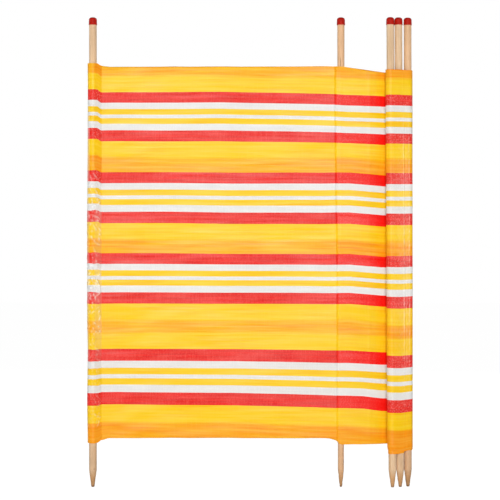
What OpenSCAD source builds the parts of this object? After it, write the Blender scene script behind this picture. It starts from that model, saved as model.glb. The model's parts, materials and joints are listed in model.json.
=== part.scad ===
// Beach windbreak: a striped cloth with sewn pole pockets on five sharpened wooden poles.
// The first bay is spread out, the second is partly open, and the rest is rolled round the last
// three poles. Millimetres: +X runs along the bays, +Z is up and -Y is the front.
// The origin is the blunt foot of the end pole.

/* [Poles] */
// Length of a wooden pole, from its blunt foot to its top
pole_l = 1198; // [800:1:1600]
// Diameter of a pole
pole_d = 19.6; // [17:0.1:24]
// Diameter of the slimmer second pole at its top
slim_top_d = 18.4; // [15:0.1:20]
// Diameter of the slimmer second pole where its point starts
slim_foot_d = 15.2; // [12:0.1:18]
// Length of the sharpened point
point_l = 44; // [20:1:80]
// Diameter of the blunt end of the point
point_d = 7.8; // [5:0.1:11]
// Diameter of the blunt end of the second pole's point
slim_point_d = 5.6; // [4.5:0.1:9]
// Rounding of the blunt end
point_round = 1.4; // [0.5:0.1:2]
// Chamfer round the top of a pole
pole_chamfer = 4.4; // [3:0.1:5.5]

/* [Caps] */
// Wall of the push-on cap at its rim
cap_wall = 0.9; // [0.8:0.05:2]
// How far the wall leans in from the rim to the shoulder
cap_taper = 0.4; // [0:0.05:0.4]
// Height of the cap
cap_h = 19.5; // [12:0.5:30]
// Thickness of the cap over the top of the pole
cap_top = 2; // [1.5:0.1:4]
// Radius of the cap's rounded shoulder
cap_round = 6.8; // [3:0.1:7.2]

/* [Spread] */
// Distance between the end pole and the second pole
bay_w = 634; // [450:1:900]
// Distance between the second pole and the middle of the roll, at the feet
roll_foot_w = 151.7; // [110:0.1:300]
// Distance between the second pole and the middle of the roll, at the pole tops
roll_top_w = 147.1; // [110:0.1:300]
// Turn of the row of rolled poles at the feet, from the run of the bays to the back
roll_foot_turn = 20; // [0:1:45]
// Turn of the row of rolled poles at their tops
roll_top_turn = 11; // [0:1:45]
// How much further the last pole stands from the fourth at their tops than at their feet
fan_w = 2.7; // [0:0.1:10]
// Distance between the caps of the rolled poles
cap_gap = 0.2; // [0.1:0.1:2]

/* [Cloth] */
// Thickness drawn for one layer of cloth
cloth_t = 0.3; // [0.2:0.05:0.6]
// Thickness that one turn of the cloth adds to the roll
turn_t = 0.07; // [0.03:0.01:0.1]
// Bare wood below the cloth at the end pole
end_low = 113; // [90:0.5:120]
// Bare wood above the cloth at the end pole
end_bare = 115.5; // [60:0.5:180]
// Height of the cloth's lower edge at the end pole's seam
end_seam_low = 119; // [90:0.5:125]
// Depth of the cloth's upper edge below the pole tops at the end pole's seam
end_seam_bare = 120; // [60:0.5:180]
// Height of the first bay's lower edge between its poles
bay_low = 125; // [90:0.5:160]
// Depth of the first bay's upper edge below the pole tops, between its poles
bay_bare = 123; // [60:0.5:180]
// Bare wood below the cloth at the second pole
second_low = 110; // [90:0.5:120]
// Bare wood above the cloth at the second pole
second_bare = 123.5; // [60:0.5:180]
// Height of the open cloth's lower edge where it meets the roll
open_low = 108.5; // [90:0.5:120]
// Depth of the open cloth's upper edge below the pole tops where it meets the roll
open_bare = 137.5; // [60:0.5:180]
// Bare wood below the cloth on the roll
roll_low = 90; // [60:0.5:120]
// Bare wood above the cloth on the roll
roll_bare = 132; // [60:0.5:180]
// Length over which the edges of the first bay curve to its poles
sweep_l = 36; // [10:1:100]

/* [Pockets] */
// Slack between a pole and a close pocket
pocket_ease = 0.1; // [0.1:0.05:0.3]
// Slack of the loose pocket on the end pole, which the pole lies against at the front
end_ease = 2.6; // [0.5:0.1:4]
// Distance from the end pole's axis to the seam of its pocket
end_seam_d = 22; // [18:0.1:40]
// Distance from the second pole's axis to the seam of its pocket
second_seam_d = 17.2; // [14:0.1:30]
// Direction of that seam from the pole, turned from the run of the bays
second_seam_a = 213; // [195:1:235]

/* [Hidden] */
// Clearance between layers of cloth that lie on each other
layer_gap = 0.1;
// Clearance of the push-on cap on its pole
cap_fit = 0.05;
// Segments of a pocket, of each end of the roll, of a curved edge and of a rounded corner
pocket_steps = 24;
roll_steps = 16;
edge_steps = 8;
round_steps = 6;
// Heights at which the leaning cloth is drawn
level_steps = 6;
// Reach of a cutting shape past the cloth that it trims
overrun = 50;
$fn = 64;

pole_r = pole_d / 2;
slim_r = slim_top_d / 2;
cap_in_r = pole_r + cap_fit;
slim_cap_in_r = slim_r + cap_fit;
roll_pitch = 2 * (cap_in_r + cap_wall) + cap_gap;

// Where the axis of each pole meets the ground and the level of the pole tops
pole_foot = [[0, 0], [bay_w, 0], for (i = [-1 : 1]) roll_spot(roll_foot_w, roll_foot_turn, i, 0)];
pole_end = [[0, 0], [bay_w, 0], for (i = [-1 : 1]) roll_spot(roll_top_w, roll_top_turn, i, fan_w)];

// Upper edges of the cloth
end_high = pole_l - end_bare;
end_seam_high = pole_l - end_seam_bare;
bay_high = pole_l - bay_bare;
second_high = pole_l - second_bare;
open_high = pole_l - open_bare;
roll_high = pole_l - roll_bare;

// Pockets drawn to a seam: middle, inside radius, and half of the angle between the two layers
end_in_r = pole_r + end_ease;
end_middle = pole_foot[0] + [0, end_ease - pocket_ease];
end_half_a = asin((end_in_r + cloth_t) / end_seam_d);
end_seam = end_middle + [end_seam_d, 0];
second_in_r = slim_r + pocket_ease;
second_out_r = second_in_r + cloth_t;
second_half_a = asin(second_out_r / second_seam_d);
second_seam = pole_foot[1] + polar(second_seam_d, second_seam_a);

// Rolled bays, from the inside out: each winds round what is inside it, and the length of its
// cloth gives its thickness on the roll
rolled_in_r = pole_r + pocket_ease;
rolled_out_r = rolled_in_r + cloth_t;
lay_r = rolled_out_r + layer_gap;
open_l = roll_top_w - roll_pitch;
fourth_t = wound_thickness(bay_w, belt_length(0, lay_r, lay_r));
fourth_r = lay_r + fourth_t + layer_gap;
third_t = wound_thickness(bay_w, belt_length(roll_pitch, lay_r, fourth_r));
third_r = fourth_r + third_t + layer_gap;
second_t = wound_thickness(bay_w - open_l, belt_length(2 * roll_pitch + fan_w, lay_r, third_r));

// The open cloth of the second bay crosses from the front of its pocket to the back of the roll,
// which it meets at the third or the last pole
layer_r = layer_gap + cloth_t / 2;
near_r = second_out_r + layer_r;
third_far_r = lay_r + second_t + layer_r;
last_far_r = third_r + second_t + layer_r;
cross_start_a = second_seam_a + 90 - second_half_a;

function polar(r, a) = [r * cos(a), r * sin(a)];

function lerp(a, b, share) = a + (b - a) * share;

function arc(c, r, a0, a1, steps) = [for (i = [0 : steps]) c + polar(r, lerp(a0, a1, i / steps))];

function reversed(points) = [for (i = [len(points) - 1 : -1 : 0]) points[i]];

// From 0 to 1 with a level start and end
function ease(t) = (1 - cos(180 * t)) / 2;

// Place of pole i of the roll, counted from its middle pole, with the last pole set further out
function roll_spot(w, turn, i, fan) = [bay_w + w, 0] + polar(i * roll_pitch + max(i, 0) * fan, turn);

// Axis of pole i at height z
function axis_at(i, z) = lerp(pole_foot[i], pole_end[i], z / pole_l);

// Outline of a taut pocket: round a pole, and drawn out to a seam in direction seam_a
function pocket_outline(c, r, seam_a, half_a) = concat(
    [c + polar(r / sin(half_a), seam_a)],
    arc(c, r, seam_a + 90 - half_a, seam_a + 270 + half_a, pocket_steps));

// A belt round two circles leaves both of them this far past the crosswise direction
function belt_lean(d, r0, r1) = d == 0 ? 0 : asin((r1 - r0) / d);

function belt_length(d, r0, r1) =
    let (lean = belt_lean(d, r0, r1))
    2 * d * cos(lean) + PI * (r0 * (180 - 2 * lean) + r1 * (180 + 2 * lean)) / 180;

function belt_outline(c0, r0, c1, r1) =
    let (run = c1 - c0, a = atan2(run.y, run.x), side = 90 + belt_lean(norm(run), r0, r1))
    concat(arc(c1, r1, a - side, a + side, roll_steps), arc(c0, r0, a + side, a + 360 - side, roll_steps));

// Thickness of cloth of length l wound on a belt of length p, from the area that its turns fill
function wound_thickness(l, p) = (sqrt(p * p + 4 * PI * l * turn_t) - p) / (2 * PI);

// Direction of a line from the front of the second pole's cloth to the back of a circle at far
function cross_a(far, r) =
    let (run = far - pole_foot[1])
    atan2(run.y, run.x) + asin((near_r + r) / norm(run));

// Plan of the open cloth of the second bay at height z: seam, front of the pocket, the roll's left
// edge, and the back of the roll
function cross_path(z) =
    let (third = axis_at(2, z), third_a = cross_a(third, third_far_r))
    let (last = axis_at(4, z), last_a = cross_a(last, last_far_r))
    let (a = max(third_a, last_a))
    let (start = pole_foot[1] + polar(near_r, 270 + a))
    let (end = third_a > last_a ? third + polar(third_far_r, 90 + a) : last + polar(last_far_r, 90 + a))
    concat(
        [second_seam + polar(layer_r, cross_start_a)],
        arc(pole_foot[1], near_r, cross_start_a, 270 + a, edge_steps),
        [lerp(start, end, (bay_w + open_l - start.x) / (end.x - start.x)), end]);

// Sideways direction of a path at point i
function path_side(path, i) =
    let (d = path[min(i + 1, len(path) - 1)] - path[max(i - 1, 0)])
    [-d.y, d.x] / norm(d);

function beside(path, t) = [for (i = [0 : len(path) - 1]) path[i] + path_side(path, i) * t];

// Height on the open cloth at x, at a share of the way from its lower to its upper edge
function open_z(x, share) =
    let (along = max(0, min(1, (x - bay_w) / open_l)))
    lerp(lerp(second_low, open_low, along), lerp(second_high, open_high, along), share);

// One edge of the first bay: level between the poles, and swept to its height at each seam
function bay_edge(l, at_end, between, at_second) = concat(
    [for (i = [0 : edge_steps])
        [sweep_l * i / edge_steps, lerp(at_end, between, ease(i / edge_steps))]],
    [for (i = [edge_steps : -1 : 0])
        [l - sweep_l * i / edge_steps, lerp(at_second, between, ease(i / edge_steps))]]);

function quad(a, b, c, d) = [[a, b, c], [a, c, d]];

// Cloth between two faces, each a list of rows of points from the lower edge up. A closed cloth
// runs round, and an open one has two side edges.
module cloth(outside, inside, closed) {
    rows = len(outside);
    cols = len(outside[0]);
    spans = closed ? cols : cols - 1;
    function at(face, row, col) = (face * rows + row) * cols + col % cols;
    polyhedron(
        [for (face = [outside, inside]) for (row = face) each row],
        [for (c = [0 : spans - 1]) each concat(
            [for (r = [0 : rows - 2]) each concat(
                quad(at(0, r, c), at(0, r + 1, c), at(0, r + 1, c + 1), at(0, r, c + 1)),
                quad(at(1, r, c), at(1, r, c + 1), at(1, r + 1, c + 1), at(1, r + 1, c)))],
            quad(at(0, 0, c), at(0, 0, c + 1), at(1, 0, c + 1), at(1, 0, c)),
            quad(at(0, rows - 1, c), at(1, rows - 1, c), at(1, rows - 1, c + 1), at(0, rows - 1, c + 1))),
        if (!closed) for (r = [0 : rows - 2]) each concat(
            quad(at(0, r, 0), at(1, r, 0), at(1, r + 1, 0), at(0, r + 1, 0)),
            quad(at(0, r, spans), at(0, r + 1, spans), at(1, r + 1, spans), at(1, r, spans)))]);
}

module upright(low, high) {
    translate([0, 0, low]) linear_extrude(high - low) children();
}

// Stands a piece on the axis of pole i, which may lean
module on_pole(i) {
    run = pole_end[i] - pole_foot[i];
    translate([pole_foot[i].x, pole_foot[i].y, 0])
    rotate([0, 0, atan2(run.y, run.x)])
    rotate([0, atan(norm(run) / pole_l), 0])
    children();
}

// A dowel with a sharpened, blunted point and a chamfered top
module pole(i, tip_d, foot_d, top_d) {
    color("burlywood")
    on_pole(i)
    rotate_extrude()
    polygon(concat(
        [[0, 0]],
        arc([tip_d / 2 - point_round, point_round], point_round, -90, 0, round_steps),
        [[foot_d / 2, point_l],
        [top_d / 2, pole_l - pole_chamfer],
        [top_d / 2 - pole_chamfer, pole_l],
        [0, pole_l]]));
}

// A hollow tapered cap with a rounded shoulder, pushed on until it sits on the pole's chamfered end
module cap(i, in_r) {
    out_r = in_r + cap_wall;
    seat_h = cap_h - cap_top;
    color("firebrick")
    on_pole(i)
    translate([0, 0, pole_l + cap_top - cap_h])
    rotate_extrude()
    polygon(concat(
        [[in_r, 0], [out_r, 0]],
        arc([out_r - cap_taper - cap_round, cap_h - cap_round], cap_round, 0, 90, round_steps),
        [[0, cap_h], [0, seat_h], [in_r - pole_chamfer, seat_h], [in_r, seat_h - pole_chamfer]]));
}

// A pocket in plan that its bay draws out to a seam
module drawn_pocket(c, in_r, seam_a, half_a) {
    difference() {
        polygon(pocket_outline(c, in_r + cloth_t, seam_a, half_a));
        polygon(pocket_outline(c, in_r, seam_a, half_a));
    }
}

// The loose pocket on the end pole, with its edges sloping to the seam
module end_pocket() {
    color("gold")
    intersection() {
        upright(0, pole_l) drawn_pocket(end_middle, end_in_r, 0, end_half_a);
        rotate([90, 0, 0])
        linear_extrude(2 * overrun, center = true)
        polygon([
            [-overrun, end_low], [0, end_low], [end_seam_d, end_seam_low],
            [end_seam_d, end_seam_high], [0, end_high], [-overrun, end_high]]);
    }
}

// The pocket on the second pole, behind the seam that the two bays share
module second_pocket() {
    color("gold")
    upright(second_low, second_high)
    drawn_pocket(pole_foot[1], second_in_r, second_seam_a, second_half_a);
}

// A tube of cloth that lies close round pole i of the roll
module sleeve(i, in_r, t) {
    on_pole(i)
    upright(roll_low, roll_high)
    difference() {
        circle(in_r + t);
        circle(in_r);
    }
}

// All the turns of one bay, wound round the poles from i0 to i1
module turns(i0, r0, i1, r1, t) {
    heights = [for (level = [0 : level_steps]) lerp(roll_low, roll_high, level / level_steps)];
    function face(out) = [for (z = heights)
        [for (p = belt_outline(axis_at(i0, z), r0 + out, axis_at(i1, z), r1 + out)) [p.x, p.y, z]]];
    cloth(face(t), face(0), true);
}

// The spread cloth between the seams of the first two pockets
module bay_1_panel() {
    run = second_seam - end_seam;
    l = norm(run);
    color("gold")
    translate([end_seam.x, end_seam.y, 0])
    rotate([0, 0, atan2(run.y, run.x)])
    rotate([90, 0, 0])
    linear_extrude(cloth_t, center = true)
    polygon(concat(
        bay_edge(l, end_seam_low, bay_low, second_low),
        reversed(bay_edge(l, end_seam_high, bay_high, second_high))));
}

// The open cloth of the second bay, from its seam to the roll
module bay_2_panel() {
    function face(side) = [for (level = [0 : level_steps])
        let (share = level / level_steps)
        let (path = cross_path(lerp(open_low, open_high, share)))
        [for (p = beside(path, side)) [p.x, p.y, open_z(p.x, share)]]];
    color("gold")
    cloth(face(-cloth_t / 2), face(cloth_t / 2), false);
}

module bay_2_turns() {
    color("orange") turns(2, lay_r, 4, third_r, second_t);
}

module bay_3_turns() {
    color("orange") turns(3, lay_r, 4, fourth_r, third_t);
}

module bay_4_turns() {
    color("orange") sleeve(4, lay_r, fourth_t);
}

module rolled_pocket(i) {
    color("gold") sleeve(i, rolled_in_r, cloth_t);
}

pole(0, point_d, pole_d, pole_d);  // pole_1
pole(1, slim_point_d, slim_foot_d, slim_top_d);  // pole_2
pole(2, point_d, pole_d, pole_d);  // pole_3
pole(3, point_d, pole_d, pole_d);  // pole_4
pole(4, point_d, pole_d, pole_d);  // pole_5
cap(0, cap_in_r);  // cap_1
cap(1, slim_cap_in_r);  // cap_2
cap(2, cap_in_r);  // cap_3
cap(3, cap_in_r);  // cap_4
cap(4, cap_in_r);  // cap_5
end_pocket();  // pocket_1
second_pocket();  // pocket_2
rolled_pocket(2);  // pocket_3
rolled_pocket(3);  // pocket_4
rolled_pocket(4);  // pocket_5
bay_1_panel();
bay_2_panel();
bay_2_turns();
bay_3_turns();
bay_4_turns();
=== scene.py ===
"""Beach windbreak: fine cloth, wooden poles, plastic caps and the photo's stage on the CAD frame. Metres."""

import json
import math

import bpy
import numpy as np
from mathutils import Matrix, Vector


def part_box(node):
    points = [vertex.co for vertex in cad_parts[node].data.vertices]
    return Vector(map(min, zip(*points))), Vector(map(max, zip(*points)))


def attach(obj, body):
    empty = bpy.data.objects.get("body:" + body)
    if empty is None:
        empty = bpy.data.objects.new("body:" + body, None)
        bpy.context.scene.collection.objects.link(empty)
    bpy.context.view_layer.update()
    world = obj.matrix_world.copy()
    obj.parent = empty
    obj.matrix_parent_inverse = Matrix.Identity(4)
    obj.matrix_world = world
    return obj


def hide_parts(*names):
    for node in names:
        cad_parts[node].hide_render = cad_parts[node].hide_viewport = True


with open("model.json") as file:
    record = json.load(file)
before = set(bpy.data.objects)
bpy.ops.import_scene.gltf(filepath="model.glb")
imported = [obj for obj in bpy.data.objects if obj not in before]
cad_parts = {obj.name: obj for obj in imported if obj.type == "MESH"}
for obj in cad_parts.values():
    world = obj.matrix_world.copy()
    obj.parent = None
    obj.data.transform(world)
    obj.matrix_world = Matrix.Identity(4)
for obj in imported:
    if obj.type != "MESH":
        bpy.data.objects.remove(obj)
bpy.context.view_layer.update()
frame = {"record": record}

# Poles and caps, measured on the frame
mounts = frame["record"]["mounts"]
FEET = np.array([m["pos_m"] for m in mounts])
SLOPES = np.array([np.array(m["axis"][:2]) / m["axis"][2] for m in mounts])
pole_low, pole_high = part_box("pole_1")
slim_low, slim_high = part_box("pole_2")
cap_low, cap_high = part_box("cap_1")
POLE_TOP = pole_high.z
POLE_R = (pole_high.x - pole_low.x) / 2
SLIM_TOP_R = (slim_high.x - slim_low.x) / 2
CAP_LOW, CAP_TOP = cap_low.z, cap_high.z
CAP_R = (cap_high.x - cap_low.x) / 2

# Pole sizes that a box doesn't tell, as in the CAD
SLIM_FOOT_R = 0.0076
POINT_L = 0.044
POINT_R = 0.0039
SLIM_POINT_R = 0.0028
POINT_ROUND = 0.0014
CHAMFER = 0.0044

# The flat cloth: stripes from its top edge down, those of a motif as shares of its height
MOTIF = (("red", 0.214), ("white", 0.127), ("yellow", 0.115), ("white", 0.072),
         ("yellow", 0.115), ("white", 0.134), ("red", 0.223))


def motif(height):
    """One group of red, white and yellow stripes."""
    return [(colour, share * height) for colour, share in MOTIF]


STRIPES = [("orange", 0.031), ("yellow", 0.041), *motif(0.127), ("yellow", 0.042), ("orange", 0.038),
           *motif(0.132), ("yellow", 0.041), ("orange", 0.036), *motif(0.128), ("yellow", 0.042),
           ("orange", 0.031), ("yellow", 0.042), *motif(0.144), ("yellow", 0.046), ("deep_orange", 0.048)]
# Each colour's material and, in the yellow to orange one, its tone
COLOURS = {"yellow": (0, 0.0), "orange": (0, 0.58), "deep_orange": (0, 0.78),
           "red": (1, None), "white": (2, None)}
CLOTH_H = sum(height for _, height in STRIPES)
BAY_W = 0.634
CLOTH_T = 0.0003
TURN_T = 0.00016
INNER_T = 0.00005
EDGE_ZONE = 0.026
FOLD_R = 0.0028
# Painted light on a deeper cloth: how much it gains in orange tone as painted shade, and in whitish specks on
# its red painted as glints
SHADE_TONE = 0.15
DEPTH_GLINTS = 0.34

# The poles' pull on the open cloth's stripes: places along it, moves there, and heights where it shows
RISE = ((0.33, 0.583, 0.655, 0.740), (0, 0.0052, 0.0082, 0.0038))
RISE_BAND = (0.22, 0.46, 0.80, 0.93)
FALL = ((0.0, 0.05, 0.31, 0.36), (0.0050, 0.0052, 0.0016, 0.0006))
FALL_BAND = (0.112, 0.19, 0.34, 0.66)
CREASE_FALL = ((0.69, 0.74), (0, 0.0052))
CREASE_FALL_BAND = (0.112, 0.19, 0.20, 0.34)
# The second seam's lean to the right, and its dip between two bays
SEAM_LEAN = 0.0056
SEAM_LEAN_RANGE = (0.45, 1.0)
SEAM_SHIFT = -0.0004
SEAM_DIP = 0.0013
SEAM_W = 0.0015

NOISE_CELLS = 128
SHARP_ANGLE = math.radians(50)
TINY = 1e-6
EPSILON = 1e-12


def axis_at(i, z):
    """Plan point of pole i's axis at each height z."""
    return FEET[i, :2] + np.multiply.outer(np.asarray(z), SLOPES[i])


def ease(x, low, high):
    """0 below low, 1 above high and a smooth step between."""
    t = np.clip((x - low) / (high - low), 0, 1)
    return t * t * (3 - 2 * t)


def fade(x, low, high):
    """1 below low, 0 above high and a smooth step between."""
    return ease(-x, -high, -low)


def band(x, start, full, last_full, end):
    """1 from full to last_full, falling smoothly to 0 at start and at end."""
    return ease(x, start, full) * fade(x, last_full, end)


def hump(x, middle, width):
    """1 at middle, falling off smoothly over about width."""
    return np.exp(-((x - middle) / width) ** 2)


def at_least(least, x):
    """From least, where x is 0, to 1, where x is 1."""
    return least + (1 - least) * x


def shares(count):
    """Even steps from 0 towards 1, without the 1."""
    return np.linspace(0, 1, count, endpoint=False)


def noise(x, y, seed):
    """Smooth noise from -1 to 1 with cells one unit wide."""
    table = np.random.default_rng(seed).uniform(-1, 1, (NOISE_CELLS, NOISE_CELLS))
    i, j = np.floor(x).astype(int), np.floor(y).astype(int)
    a, b = ease(x - i, 0, 1), ease(y - j, 0, 1)
    low, high = (table[i % NOISE_CELLS, k % NOISE_CELLS] * (1 - a)
                 + table[(i + 1) % NOISE_CELLS, k % NOISE_CELLS] * a for k in (j, j + 1))
    return low * (1 - b) + high * b


def around(c, r, a):
    """Point at angle a on a circle in plan, for arrays of centres, radii or angles."""
    return c + np.stack(np.broadcast_arrays(r * np.cos(a), r * np.sin(a)), -1)


def cloth_rows(step, edge_step):
    """Heights up the flat cloth with a row on every stripe edge, and each gap's stripe from the bottom."""
    cuts = np.cumsum([0.0] + [height for _, height in reversed(STRIPES)])
    marks = np.unique(np.round(np.concatenate([cuts, [EDGE_ZONE, CLOTH_H - EDGE_ZONE]]), 7))
    rows = []
    for low, high in zip(marks[:-1], marks[1:]):
        near = high < EDGE_ZONE + TINY or low > CLOTH_H - EDGE_ZONE - TINY
        count = math.ceil((high - low) / (edge_step if near else step))
        rows.extend(np.linspace(low, high, count, endpoint=False))
    rows = np.array(rows + [marks[-1]])
    return rows, np.searchsorted(cuts, (rows[1:] + rows[:-1]) / 2) - 1


def hang(v, bottom, top, bottom_seen, top_seen, inward):
    """Heights of the rows over the columns, and how far each point is folded to the back.

    Where an edge shows inside its flat line the rest is folded behind; where inward is 1, or the edge
    shows outside its line, the last stripe is drawn to the seen edge.
    """
    z = bottom + (top - bottom) * v[:, None] / CLOTH_H
    back = np.zeros_like(z)
    flat = z.copy()
    edges = ((1, top, top_seen, STRIPES[0]), (-1, bottom, bottom_seen, STRIPES[-1]))
    for sign, edge, seen, (_, stripe) in edges:
        hidden = sign * (edge - seen)
        inner = edge - sign * stripe
        drawn = inner + (flat - inner) * (seen - inner) / (edge - inner)
        r = np.clip(hidden / 2, TINY, FOLD_R)
        past = sign * (flat - seen) + r
        turn = np.clip(past / r, 0, math.pi)
        folded = seen - sign * r + sign * (r * np.sin(turn) - np.clip(past - math.pi * r, 0, None))
        share = np.where(hidden > 0, 1 - inward, 0.0)
        in_stripe = sign * (flat - inner) > 0
        in_fold = past > 0
        moved = share * np.where(in_fold, folded, flat) + (1 - share) * np.where(in_stripe, drawn, flat)
        z = np.where(in_stripe | in_fold, moved, z)
        back = back + np.where(in_fold, share * r * (1 - np.cos(turn)), 0)
    return z, back


def stripe_lift(x, z):
    """How far the pull of the poles lifts the open cloth's stripes at x and z."""
    rise = np.interp(x, *RISE) * band(z, *RISE_BAND)
    fall = np.interp(x, *FALL) * band(z, *FALL_BAND)
    return rise - fall - np.interp(x, *CREASE_FALL) * band(z, *CREASE_FALL_BAND)


def seam_lean(z):
    """How far the second seam stands to the right of its plan at each height."""
    return SEAM_LEAN * fade(z, *SEAM_LEAN_RANGE) + SEAM_SHIFT


def make_object(name, points, faces, slots, materials, vectors, floats):
    """A smooth mesh piece with a material for each face and point attributes."""
    mesh = bpy.data.meshes.new(name)
    mesh.from_pydata(points.tolist(), [], faces)
    for material in materials:
        mesh.materials.append(material)
    mesh.polygons.foreach_set("material_index", np.asarray(slots, dtype=np.int32))
    mesh.polygons.foreach_set("use_smooth", np.ones(len(faces), dtype=bool))
    for kind, field, attributes in (("FLOAT_VECTOR", "vector", vectors), ("FLOAT", "value", floats)):
        for key, values in attributes.items():
            mesh.attributes.new(key, kind, "POINT").data.foreach_set(field, np.ravel(values))
    mesh.update()
    mesh.set_sharp_from_angle(angle=SHARP_ANGLE)
    obj = bpy.data.objects.new(name, mesh)
    bpy.context.scene.collection.objects.link(obj)
    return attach(obj, "root")


def grid_faces(rows, cols, offset=0, flip=False):
    """Quads over a grid of points stored row by row."""
    r, c = np.meshgrid(np.arange(rows - 1), np.arange(cols - 1), indexing="ij")
    first = (offset + r * cols + c).ravel()
    quads = np.stack([first, first + 1, first + 1 + cols, first + cols], 1)
    return quads[:, ::-1] if flip else quads


def row_tones(stripes):
    """How orange the yellow and orange cloth is at each row: halfway where two such stripes meet."""
    tones = [COLOURS[colour][1] for colour, _ in reversed(STRIPES)]
    found = []
    for pair in zip([stripes[0], *stripes], [*stripes, stripes[-1]]):
        warm = [tones[k] for k in pair if tones[k] is not None]
        found.append(sum(warm) / len(warm) if warm else 0.0)
    return np.array(found)


def cloth_piece(name, middle, v, stripes, u, thickness, replaced, pale_wear_and_glint=0.0, depth=1.0, deep_shade=0.0):
    """Cloth with two faces and a rim over a grid of middle points, striped row by row.

    Over the grid, one share whitens it for ridge wear and for painted highlights and glints, depth deepens
    its orange as painted shade and adds whitish specks painted as glints to its red, and another share
    deepens its red as painted shade.
    """
    rows, cols = middle.shape[:2]
    colours = np.array([COLOURS[colour][0] for colour, _ in reversed(STRIPES)])[stripes]
    along, up = np.gradient(middle, axis=1), np.gradient(middle, axis=0)
    normal = np.cross(along, up)
    normal /= np.linalg.norm(normal, axis=2, keepdims=True) + EPSILON
    front, rear = middle + normal * thickness / 2, middle - normal * thickness / 2
    count = rows * cols
    faces = [grid_faces(rows, cols), grid_faces(rows, cols, count, True)]
    slots = [np.repeat(colours, cols - 1)] * 2
    ids = np.arange(count).reshape(rows, cols)
    for line, tones in ((ids[0], colours[:1]), (ids[-1, ::-1], colours[-1:]),
                        (ids[::-1, 0], colours[::-1]), (ids[:, -1], colours)):
        faces.append(np.stack([line[:-1] + count, line[1:] + count, line[1:], line[:-1]], 1))
        slots.append(np.resize(tones, len(line) - 1))
    weave = np.stack(np.broadcast_arrays(u[None, :], v[:, None], 0.0), 2).reshape(-1, 3)
    # The looks hold painted light: an orange deepened by depth as painted shade, whitening for ridge wear and
    # painted highlights and glints, whitish specks painted as glints on red, and a deeper red as painted
    # shade.
    looks = {"tone": row_tones(stripes)[:, None] * depth + SHADE_TONE * (depth - 1),
             "pale_wear_and_glint": pale_wear_and_glint, "deep_shade": deep_shade, "depth_glints": DEPTH_GLINTS * (depth - 1)}
    floats = {key: np.tile(np.broadcast_to(values, (rows, cols)).ravel(), 2) for key, values in looks.items()}
    obj = make_object(name, np.concatenate([front.reshape(-1, 3), rear.reshape(-1, 3)]),
                      np.concatenate(faces).tolist(), np.concatenate(slots), CLOTHS,
                      {"weave": np.concatenate([weave, weave])}, floats)
    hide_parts(*replaced)
    return obj


# Noise patterns of the materials: scales, detail, and the levels that become 0 and 1
SHINE = ((6.0, 170.0, 1.0), 3.0, 0.25, 0.75)
BROAD_SHINE = ((4.0, 17.0, 1.0), 2.0, 0.30, 0.70)
WARM_STREAKS = ((5.0, 240.0, 1.0), 3.0, 0.25, 0.75)
WARM_PATCHES = ((6.0, 34.0, 1.0), 2.0, 0.3, 0.7)
# Sheen and glints painted on the warm cloth: paler streaks and thread glints
SHEEN_STREAKS = ((7.0, 150.0, 1.0), 3.0, 0.42, 0.80)
WARM_THREAD_GLINTS = ((330.0, 14.0, 1.0), 2.0, 0.50, 0.80)
COOL_STREAKS = ((8.0, 260.0, 1.0), 3.0, 0.35, 0.70)
# Sheen and glints painted on the red and white cloth: thread glints, whitish patches and specks
COOL_THREAD_GLINTS = ((340.0, 26.0, 1.0), 3.0, 0.40, 0.75)
COOL_SHEEN_PATCHES = ((22.0, 60.0, 1.0), 3.0, 0.35, 0.75)
COOL_GLINT_SPECKS = ((300.0, 240.0, 1.0), 1.0, 0.50, 0.72)
BROAD_GRAIN = ((160.0, 160.0, 4.0), 3.0, 0.35, 0.68)
FINE_GRAIN = ((900.0, 900.0, 22.0), 2.0, 0.45, 0.75)
CAP_WEAR = ((140.0, 140.0, 140.0), 2.0, 0.4, 0.7)

# Colours of the warm cloth, the wood and the caps
YELLOW = (0.92, 0.585, 0.003)
ORANGE = (0.91, 0.275, 0.003)
WARM_SHEEN = (1.0, 0.55, 0.01)
# Paler yellows painted as sheen and thread glints, and for ridge wear with glints
SHEEN_YELLOW = (0.97, 0.70, 0.10)
YELLOW_THREAD_GLINT = (1.0, 0.80, 0.12)
CREASE_AND_GLINT_YELLOW = (0.97, 0.85, 0.55)
PALE_WOOD = (0.80, 0.585, 0.38)
BROWN_WOOD = (0.69, 0.465, 0.27)
GRAIN_LINE = (0.58, 0.35, 0.17)
TINTED_WOOD = (0.77, 0.47, 0.26)
CUT_WOOD = (0.68, 0.36, 0.145)
# Dark brown for staining, and for the shade painted into the split
STAIN_AND_SHADE_BROWN = (0.13, 0.055, 0.02)
CAP_RED = (0.47, 0.011, 0.004)
WORN_CAP_RED = (0.38, 0.009, 0.004)

# Fine relief; at a scale of 1, Blender's wave repeats every WAVE_PERIOD
WEAVE_PITCH = 0.0022
WAVE_PERIOD = math.pi / 10
BUMP_STRENGTH = 0.2
BUMP_DISTANCE = 0.0003


def feed(tree, node, inputs):
    """Sets a node's inputs, by name or place: outputs are linked and constants set."""
    for key, value in inputs.items():
        socket = node.inputs[key]
        if isinstance(value, bpy.types.NodeSocket):
            tree.links.new(value, socket)
        else:
            socket.default_value = (*value, 1.0) if socket.type == "RGBA" else value
    return node


def add_node(tree, kind, inputs):
    """A new node with its inputs set."""
    return feed(tree, tree.nodes.new(kind), inputs)


def new_material(name, roughness, specular):
    """A Principled material, its node tree and its shader."""
    material = bpy.data.materials.new(name)
    material.use_nodes = True
    tree = material.node_tree
    shader = feed(tree, tree.nodes["Principled BSDF"],
                  {"Roughness": roughness, "Specular IOR Level": specular})
    return material, tree, shader


def attribute(tree, name, output="Fac"):
    """A mesh attribute's output."""
    node = tree.nodes.new("ShaderNodeAttribute")
    node.attribute_name = name
    return node.outputs[output]


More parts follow.
